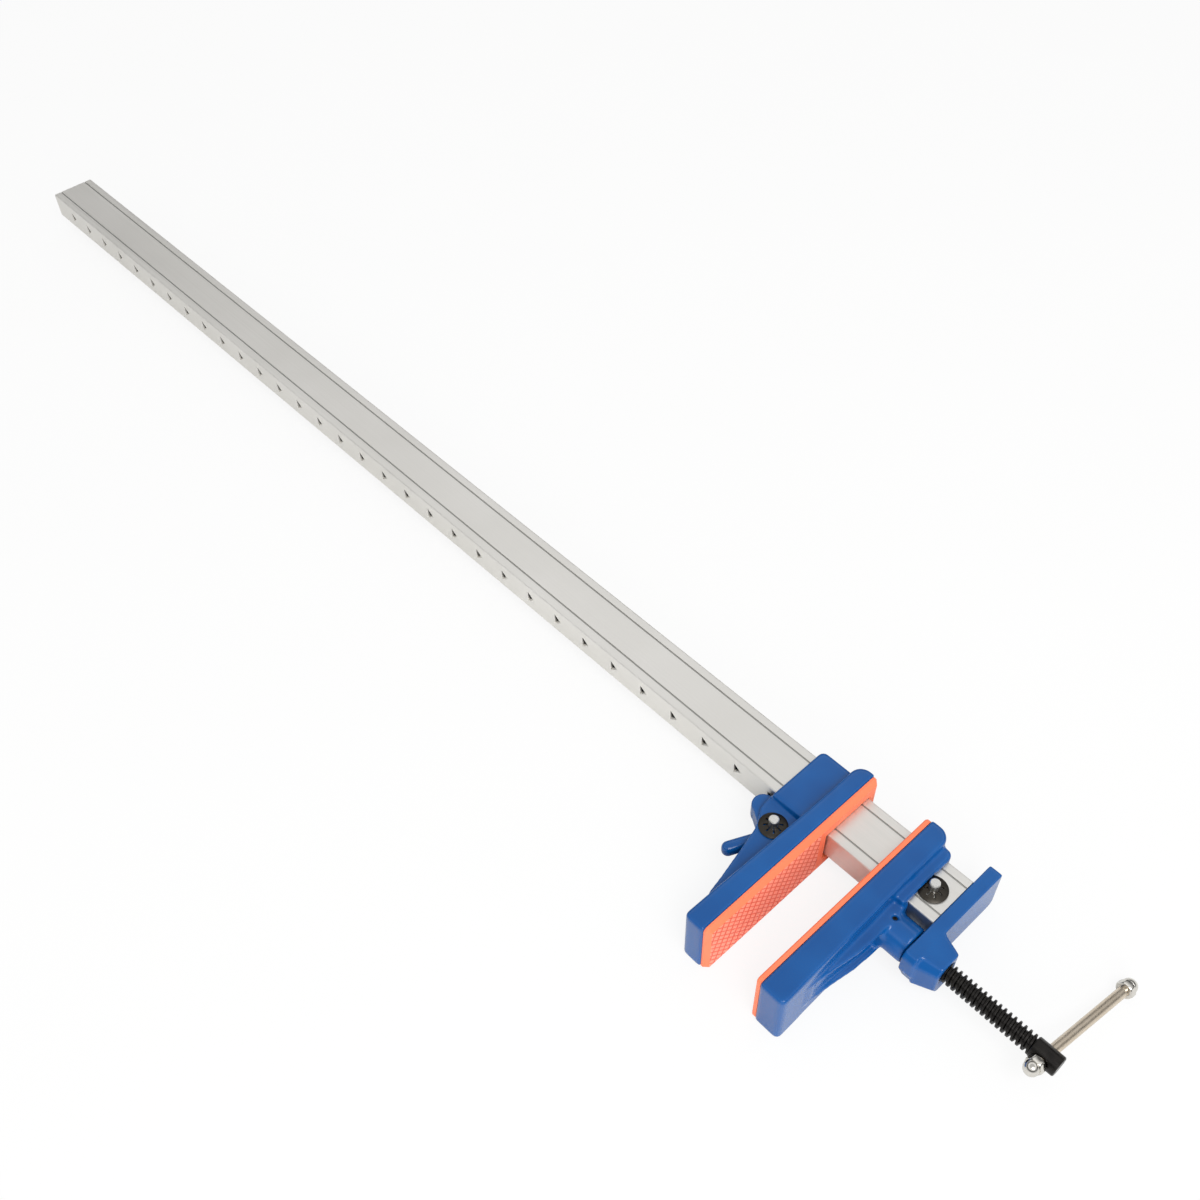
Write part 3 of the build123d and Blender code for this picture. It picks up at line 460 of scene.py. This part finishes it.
# ---------------------------------------------------------------- the clamp screw
# Turned from steel bar: a trapezoidal thread, a grooved nose that turns in the screw jaw's
# boss, and a cross-drilled head. Blacked and oiled, so nearly black with a dull gleam.
blacked = bpy.data.materials.new("black_oxide_on_turned_steel")
blacked.use_nodes = True
tree = blacked.node_tree
tree.nodes.clear()
place = node(tree, "ShaderNodeTexCoord")
# Tool marks run round the screw, about 0.5 mm apart along it.
marks = node(tree, "ShaderNodeMapping", {"Vector": (place, "Object"), "Scale": (2000.0, 60.0, 60.0)})
turned_marks = node(tree, "ShaderNodeTexNoise", {"Vector": (marks, 0), "Scale": 1.0, "Detail": 2.0})
# The oil lies in patches of some 5 mm.
oil = node(tree, "ShaderNodeTexNoise", {"Vector": (place, "Object"), "Scale": 180.0, "Detail": 2.0})
tone = node(tree, "ShaderNodeMix", {0: (oil, 0), 6: colour("#262525"), 7: colour("#3A3836")},
            data_type="RGBA")
gleam = node(tree, "ShaderNodeMapRange", {0: (oil, 0), 1: 0.3, 2: 0.7, 3: 0.28, 4: 0.45})
relief = node(tree, "ShaderNodeBump", {"Strength": 0.15, "Distance": 0.00004, "Height": (turned_marks, 0)})
metal = node(tree, "ShaderNodeBsdfPrincipled", {"Base Color": (tone, 2), "Metallic": 1.0,
                                                "Roughness": (gleam, 0), "Normal": (relief, 0)})
node(tree, "ShaderNodeOutputMaterial", {"Surface": (metal, 0)})

SCREW_Y, SCREW_Z = 0.004065, 0.021
SCREW_R, SCREW_LEAD, THREAD_DEPTH, THREAD_STEPS = 0.0055, 0.003, 0.0017, 48
HEAD_R, HEAD_LENGTH, HEAD_CHAMFER = 0.00575, 0.015, 0.0005
HOLE_R, HOLE_BACK, HOLE_REACH = 0.0035, 0.0078, 0.012
NOSE_R, NOSE_LENGTH, NOSE_CHAMFER = 0.0044, 0.011, 0.0006
NECK_R, NECK_HALF = 0.003, 0.0017
# The nose and the thread each run a little way into what comes next, so that they join.
NOSE_JOIN, THREAD_JOIN = 0.0004, 0.0005
# How the tommy bar lies in the head, in degrees.
ROD_TILT, ROD_SKEW = -12.0, -5.25
screw_low, screw_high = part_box("clamp_screw")


def turned(name, steps, sides=64):
    """A round piece drawn up along +Z from a disc, through (height, radius) steps."""
    bpy.ops.object.select_all(action="DESELECT")
    z, r = steps[0]
    bpy.ops.mesh.primitive_circle_add(vertices=sides, radius=r, fill_type="NGON", location=(0, 0, z))
    piece = bpy.context.object
    piece.name = name
    bpy.ops.object.transform_apply(location=True, rotation=True, scale=True)
    bpy.ops.object.mode_set(mode="EDIT")
    bpy.ops.mesh.select_all(action="SELECT")
    for high, wide in steps[1:]:
        bpy.ops.mesh.extrude_region_move(TRANSFORM_OT_translate={"value": (0, 0, high - z)})
        grow = wide / r
        bpy.ops.transform.resize(value=(grow, grow, 1), center_override=(0, 0, high))
        z, r = high, wide
    bpy.ops.mesh.select_all(action="SELECT")
    bpy.ops.mesh.normals_make_consistent(inside=False)
    bpy.ops.object.mode_set(mode="OBJECT")
    return piece


def put(piece, matrix):
    """Moves a piece to its place and makes that place part of its mesh."""
    bpy.ops.object.select_all(action="DESELECT")
    piece.select_set(True)
    bpy.context.view_layer.objects.active = piece
    piece.matrix_world = matrix
    bpy.ops.object.transform_apply(location=True, rotation=True, scale=True)


def along_x(x):
    """Turns a piece made along +Z to lie on the screw's axis, starting at x."""
    return Matrix.Translation((x, SCREW_Y, SCREW_Z)) @ Matrix.Rotation(math.radians(90), 4, "Y")


# The thread: one pitch of its outline, spun up the axis and trimmed square at both ends.
thread_low = screw_low.x + NOSE_LENGTH
head_low = screw_high.x - HEAD_LENGTH
root = SCREW_R - THREAD_DEPTH
turns = math.ceil((head_low - thread_low) / SCREW_LEAD) + 2
outline = [(root, 0.0), (root, 0.17), (SCREW_R, 0.33), (SCREW_R, 0.67), (root, 0.83), (root, 1.0)]
links = [(i, i + 1) for i in range(len(outline) - 1)]
thread = drawn_outline([(r, 0, s * SCREW_LEAD) for r, s in outline], links, [])
thread.name = "clamp_screw_turned"
finish_with(thread, "SCREW", angle=math.tau, screw_offset=SCREW_LEAD, iterations=turns, steps=THREAD_STEPS,
            render_steps=THREAD_STEPS, use_merge_vertices=True, merge_threshold=0.00001)
bpy.ops.object.mode_set(mode="EDIT")
bpy.ops.mesh.select_all(action="SELECT")
bpy.ops.mesh.remove_doubles(threshold=0.000005)
length = head_low - thread_low + THREAD_JOIN
start = SCREW_LEAD * 1.2
for height, inner in ((start, True), (start + length, False)):
    bpy.ops.mesh.select_all(action="SELECT")
    bpy.ops.mesh.bisect(plane_co=(0, 0, height), plane_no=(0, 0, 1), use_fill=True,
                        clear_inner=inner, clear_outer=not inner)
bpy.ops.mesh.select_all(action="SELECT")
bpy.ops.mesh.normals_make_consistent(inside=False)
bpy.ops.object.mode_set(mode="OBJECT")
put(thread, along_x(thread_low) @ Matrix.Translation((0, 0, -start)))

neck_low, neck_high = NOSE_LENGTH / 2 - NECK_HALF, NOSE_LENGTH / 2 + NECK_HALF
nose = turned("nose", [(0.0, NOSE_R - NOSE_CHAMFER), (NOSE_CHAMFER, NOSE_R), (neck_low, NOSE_R),
                       (neck_low, NECK_R), (neck_high, NECK_R), (neck_high, NOSE_R),
                       (NOSE_LENGTH + NOSE_JOIN, NOSE_R)])
put(nose, along_x(screw_low.x))
cut_with(thread, nose, "UNION")

head = turned("head", [(0.0, HEAD_R - HEAD_CHAMFER), (HEAD_CHAMFER, HEAD_R),
                       (HEAD_LENGTH - HEAD_CHAMFER, HEAD_R), (HEAD_LENGTH, HEAD_R - HEAD_CHAMFER)])
put(head, along_x(head_low))
cut_with(thread, head, "UNION")

hole_at = Vector((screw_high.x - HOLE_BACK, SCREW_Y, SCREW_Z))
hole_turn = Matrix.Rotation(math.radians(ROD_TILT), 4, "X")
drill = turned("drill", [(-HOLE_REACH, HOLE_R), (HOLE_REACH, HOLE_R)], 48)
put(drill, Matrix.Translation(hole_at) @ hole_turn @ Matrix.Rotation(math.radians(90), 4, "X"))
cut_with(thread, drill)
finish_with(thread, "BEVEL", width=0.00015, segments=2, limit_method="ANGLE", angle_limit=math.radians(35))
smooth(thread, 30)
wear(thread, blacked)
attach(thread, "clamp_screw")
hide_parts("clamp_screw")


# ---------------------------------------------------------------- the tommy bar
# A length of drawn steel rod through the screw's head, cleaned but not plated: warm grey,
# with fine marks along it. It hangs a little askew in its oversize hole.
rod_steel = bpy.data.materials.new("bright_drawn_steel_rod")
rod_steel.use_nodes = True
tree = rod_steel.node_tree
tree.nodes.clear()
place = node(tree, "ShaderNodeTexCoord")
# Drawing lines, about 0.4 mm apart round the rod and 40 mm long.
drawn = node(tree, "ShaderNodeMapping", {"Vector": (place, "Object"), "Scale": (2500.0, 25.0, 2500.0),
                                         "Rotation": (math.radians(-ROD_TILT), 0, math.radians(-ROD_SKEW))})
lines = node(tree, "ShaderNodeTexNoise", {"Vector": (drawn, 0), "Scale": 1.0, "Detail": 2.0})
# Handling has stained it over some 8 mm.
stain = node(tree, "ShaderNodeTexNoise", {"Vector": (place, "Object"), "Scale": 120.0, "Detail": 3.0})
tone = node(tree, "ShaderNodeMix", {0: (stain, 0), 6: colour("#C3B49E"), 7: colour("#DCD1C2")},
            data_type="RGBA")
rough = node(tree, "ShaderNodeMapRange", {0: (lines, 0), 1: 0.3, 2: 0.7, 3: 0.22, 4: 0.38})
relief = node(tree, "ShaderNodeBump", {"Strength": 0.1, "Distance": 0.00003, "Height": (lines, 0)})
metal = node(tree, "ShaderNodeBsdfPrincipled", {"Base Color": (tone, 2), "Metallic": 1.0,
                                                "Roughness": (rough, 0), "Normal": (relief, 0)})
node(tree, "ShaderNodeOutputMaterial", {"Surface": (metal, 0)})

ROD_R, ROD_NEAR, ROD_FAR, ROD_CHAMFER = 0.00285, 0.0065, 0.0655, 0.0005
NUT_SEAT = 0.0045
hang = Matrix.Translation(hole_at) @ hole_turn @ Matrix.Rotation(math.radians(ROD_SKEW), 4, "Z")
to_far = Matrix.Rotation(math.radians(-90), 4, "X")
near_end, far_end = -ROD_NEAR - NUT_SEAT, ROD_FAR + NUT_SEAT
rod = turned("tommy_bar_rod", [(near_end, ROD_R - ROD_CHAMFER), (near_end + ROD_CHAMFER, ROD_R),
                               (far_end - ROD_CHAMFER, ROD_R), (far_end, ROD_R - ROD_CHAMFER)])
put(rod, hang @ to_far)
smooth(rod, 30)
wear(rod, rod_steel)
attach(rod, "tommy_bar")
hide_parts("tommy_bar")


# ---------------------------------------------------------------- the acorn nuts
# Two domed nuts close the tommy bar's ends. Pressed from steel and nickel plated, so bright
# and smooth, with the corners of the hexagon turned off where it meets the rod and the dome.
nickel = bpy.data.materials.new("bright_nickel_plate")
nickel.use_nodes = True
tree = nickel.node_tree
tree.nodes.clear()
place = node(tree, "ShaderNodeTexCoord")
# Plating leaves a faint unevenness some 1.5 mm across.
swirl = node(tree, "ShaderNodeTexNoise", {"Vector": (place, "Object"), "Scale": 650.0, "Detail": 2.0})
tone = node(tree, "ShaderNodeMix", {0: (swirl, 0), 6: colour("#C9C6BF"), 7: colour("#DAD7D1")},
            data_type="RGBA")
rough = node(tree, "ShaderNodeMapRange", {0: (swirl, 0), 1: 0.3, 2: 0.7, 3: 0.1, 4: 0.2})
relief = node(tree, "ShaderNodeBump", {"Strength": 0.08, "Distance": 0.00005, "Height": (swirl, 0)})
metal = node(tree, "ShaderNodeBsdfPrincipled", {"Base Color": (tone, 2), "Metallic": 1.0,
                                                "Roughness": (rough, 0), "Normal": (relief, 0)})
node(tree, "ShaderNodeOutputMaterial", {"Surface": (metal, 0)})

NUT_FLATS, NUT_HEX, NUT_HEIGHT = 0.009, 0.004, 0.0092
CORNER_TURNED, CORNER_PAST = 0.0007, 0.0002
# The dome stands on a neck, this much narrower, that is sunk into the hexagon and ends just
# over it; above its foot the dome is drawn as rings, so many degrees apart.
NECK_IN, NECK_TOP, DOME_FOOT, DOME_SUNK = 0.00015, 0.0002, 0.0004, 0.0008
DOME_RINGS, DOME_STEP = 17, 5.5
BORE_BELOW = 0.001


def second_of(piece, name):
    """Another piece like one already made, with its own mesh."""
    other = piece.copy()
    other.data = piece.data.copy()
    other.name = name
    bpy.context.scene.collection.objects.link(other)
    return other


hex_r = NUT_FLATS / 2 / math.cos(math.pi / 6)
nut = turned("near_acorn_nut_plated", [(0.0, hex_r), (NUT_HEX, hex_r)], 6)
put(nut, Matrix.Rotation(math.radians(30), 4, "Z"))

# A double cone takes the hexagon's corners off at both ends.
cone_end, cone_mid = NUT_FLATS * 0.49, NUT_FLATS * 0.56
turning = turned("turning", [(-CORNER_PAST, cone_end), (CORNER_TURNED, cone_mid),
                             (NUT_HEX - CORNER_TURNED, cone_mid), (NUT_HEX + CORNER_PAST, cone_end)])
cut_with(nut, turning, "INTERSECT")

dome_r = NUT_FLATS * 0.47
dome_mid = NUT_HEIGHT - dome_r
steps = [(NUT_HEX - DOME_SUNK, dome_r - NECK_IN), (NUT_HEX + NECK_TOP, dome_r - NECK_IN),
         (NUT_HEX + DOME_FOOT, dome_r)]
for ring in range(DOME_RINGS):
    rise = math.radians(DOME_STEP * ring)
    steps.append((dome_mid + dome_r * math.sin(rise), dome_r * math.cos(rise)))
dome = turned("dome", steps)
cut_with(nut, dome, "UNION")

bore = turned("bore", [(-BORE_BELOW, ROD_R), (NUT_SEAT, ROD_R)])
cut_with(nut, bore)
finish_with(nut, "BEVEL", width=0.00012, segments=2, limit_method="ANGLE", angle_limit=math.radians(28))
far_nut = second_of(nut, "far_acorn_nut_plated")
near_seat = Matrix.Translation((0, -ROD_NEAR, 0)) @ to_far.inverted()
far_seat = Matrix.Translation((0, ROD_FAR, 0)) @ to_far
for piece, node_name, seat in ((nut, "near_acorn_nut", near_seat), (far_nut, "far_acorn_nut", far_seat)):
    put(piece, hang @ seat)
    smooth(piece, 25)
    wear(piece, nickel)
    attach(piece, "tommy_bar")
    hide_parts(node_name)


# ---------------------------------------------------------------- the two pins
# Headed steel pins, one for the lever's pivot and one through the bar into the end plate.
# Ground bright, with a lightly chamfered nose that stands up through its push nut.
bright = bpy.data.materials.new("bright_ground_steel")
bright.use_nodes = True
tree = bright.node_tree
tree.nodes.clear()
place = node(tree, "ShaderNodeTexCoord")
# Grinding marks, about 0.5 mm.
marks = node(tree, "ShaderNodeTexNoise", {"Vector": (place, "Object"), "Scale": 2000.0, "Detail": 2.0})
tone = node(tree, "ShaderNodeMix", {0: (marks, 0), 6: colour("#D6D5D2"), 7: colour("#EAE9E6")},
            data_type="RGBA")
rough = node(tree, "ShaderNodeMapRange", {0: (marks, 0), 1: 0.3, 2: 0.7, 3: 0.26, 4: 0.34})
metal = node(tree, "ShaderNodeBsdfPrincipled", {"Base Color": (tone, 2), "Metallic": 1.0,
                                                "Roughness": (rough, 0)})
node(tree, "ShaderNodeOutputMaterial", {"Surface": (metal, 0)})

PIN_R, PIN_HEAD_R, PIN_HEAD, PIN_CHAMFER = 0.0029, 0.0046, 0.002, 0.0005
pin_low, pin_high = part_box("pivot_pin")
tall = pin_high.z - pin_low.z
pin = turned("pivot_pin_ground", [(0.0, PIN_HEAD_R - PIN_CHAMFER), (PIN_CHAMFER, PIN_HEAD_R),
                                  (PIN_HEAD, PIN_HEAD_R), (PIN_HEAD, PIN_R),
                                  (tall - PIN_CHAMFER, PIN_R), (tall, PIN_R - PIN_CHAMFER)], 48)
end_pin = second_of(pin, "end_pin_ground")
for piece, node_name, rides_on in ((pin, "pivot_pin", "sliding_jaw"), (end_pin, "end_pin", "bar")):
    low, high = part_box(node_name)
    put(piece, Matrix.Translation(((low.x + high.x) / 2, (low.y + high.y) / 2, low.z)))
    smooth(piece, 30)
    wear(piece, bright)
    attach(piece, rides_on)
    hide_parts(node_name)


# ---------------------------------------------------------------- the push nuts
# Domed washers stamped from spring steel, with eight slots whose tongues bite the pin as it
# is pushed through. Hardened and phosphated: a dark, slightly brown grey.
spring_steel = bpy.data.materials.new("phosphated_spring_steel")
spring_steel.use_nodes = True
tree = spring_steel.node_tree
tree.nodes.clear()
place = node(tree, "ShaderNodeTexCoord")
# Phosphate crystals, drawn about 0.7 mm across so that they show.
crystals = node(tree, "ShaderNodeTexNoise", {"Vector": (place, "Object"), "Scale": 1400.0, "Detail": 3.0})
tone = node(tree, "ShaderNodeMix", {0: (crystals, 0), 6: colour("#35322E"), 7: colour("#4A4640")},
            data_type="RGBA")
rough = node(tree, "ShaderNodeMapRange", {0: (crystals, 0), 1: 0.3, 2: 0.7, 3: 0.32, 4: 0.5})
relief = node(tree, "ShaderNodeBump", {"Strength": 0.12, "Distance": 0.00003, "Height": (crystals, 0)})
metal = node(tree, "ShaderNodeBsdfPrincipled", {"Base Color": (tone, 2), "Metallic": 1.0,
                                                "Roughness": (rough, 0), "Normal": (relief, 0)})
node(tree, "ShaderNodeOutputMaterial", {"Surface": (metal, 0)})

WASHER_R, WASHER_RISE, WASHER_SIDES, SHEET = 0.0082, 0.0022, 64, 0.0008
SLOTS, SLOT_END, BITE_GAP = 8, 0.0055, 0.0001
# The washer's upper face, drawn inwards and up from its rim as rings of (radius, height); two
# faces in eight of the inner rings are left out for the slots, and the sheet is thickened below.
rings = [(WASHER_R, SHEET), (0.0067, 0.00125), (SLOT_END, 0.00165), (0.0042, 0.0020),
         (PIN_R + BITE_GAP, WASHER_RISE)]
bpy.ops.object.select_all(action="DESELECT")
bpy.ops.mesh.primitive_circle_add(vertices=WASHER_SIDES, radius=WASHER_R, fill_type="NOTHING",
                                  location=(0, 0, 0))
washer = bpy.context.object
washer.name = "pivot_push_nut_stamped"
bpy.ops.object.mode_set(mode="EDIT")
bpy.ops.mesh.select_all(action="SELECT")
bpy.ops.transform.translate(value=(0, 0, SHEET))
for (r0, z0), (r1, z1) in zip(rings, rings[1:]):
    bpy.ops.mesh.extrude_region_move(TRANSFORM_OT_translate={"value": (0, 0, z1 - z0)})
    bpy.ops.transform.resize(value=(r1 / r0, r1 / r0, 1), center_override=(0, 0, z1))
bpy.ops.object.mode_set(mode="OBJECT")
for face in washer.data.polygons:
    centre = face.center
    reach = math.hypot(centre.x, centre.y)
    turn = math.degrees(math.atan2(centre.y, centre.x)) % (360 / SLOTS)
    face.select = reach < SLOT_END and min(turn, 360 / SLOTS - turn) < 360 / WASHER_SIDES
bpy.ops.object.mode_set(mode="EDIT")
bpy.ops.mesh.select_mode(type="FACE")
bpy.ops.mesh.delete(type="FACE")
bpy.ops.mesh.select_all(action="SELECT")
bpy.ops.mesh.normals_make_consistent(inside=False)
bpy.ops.object.mode_set(mode="OBJECT")
upward = sum(face.normal.z for face in washer.data.polygons)
finish_with(washer, "SOLIDIFY", thickness=SHEET, offset=-1.0 if upward > 0 else 1.0)
finish_with(washer, "BEVEL", width=0.00012, segments=2, limit_method="ANGLE", angle_limit=math.radians(40))
end_washer = second_of(washer, "end_push_nut_stamped")
for piece, node_name, rides_on in ((washer, "pivot_push_nut", "sliding_jaw"),
                                   (end_washer, "end_push_nut", "bar")):
    low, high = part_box(node_name)
    put(piece, Matrix.Translation(((low.x + high.x) / 2, (low.y + high.y) / 2, low.z)))
    smooth(piece, 30)
    wear(piece, spring_steel)
    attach(piece, rides_on)
    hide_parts(node_name)


# ---------------------------------------------------------------- the lever's spring and tooth
# A torsion spring of hard wire sits in the lever's barrel, and a hardened steel tooth is let
# into its nose. Both keep the dark skin of their heat treatment.
wear(nodes["lever_spring"], spring_steel)
wear(nodes["pawl_tooth"], blacked)


# ---------------------------------------------------------------- inside the boss and the housing
# A socket-headed set screw drops into the screw's groove, a hardened disc takes its thrust,
# and a bronze bush in the end plate carries its thread.
wear(nodes["set_screw"], blacked)
wear(nodes["thrust_disc"], bright)

bronze = bpy.data.materials.new("cast_leaded_bronze")
bronze.use_nodes = True
tree = bronze.node_tree
tree.nodes.clear()
place = node(tree, "ShaderNodeTexCoord")
# Oiled bearing bronze, mottled over about 2 mm.
mottle = node(tree, "ShaderNodeTexNoise", {"Vector": (place, "Object"), "Scale": 500.0, "Detail": 3.0})
tone = node(tree, "ShaderNodeMix", {0: (mottle, 0), 6: colour("#9A7440"), 7: colour("#B98F55")},
            data_type="RGBA")
rough = node(tree, "ShaderNodeMapRange", {0: (mottle, 0), 1: 0.3, 2: 0.7, 3: 0.3, 4: 0.45})
metal = node(tree, "ShaderNodeBsdfPrincipled", {"Base Color": (tone, 2), "Metallic": 1.0,
                                                "Roughness": (rough, 0)})
node(tree, "ShaderNodeOutputMaterial", {"Surface": (metal, 0)})
wear(nodes["thread_bush"], bronze)
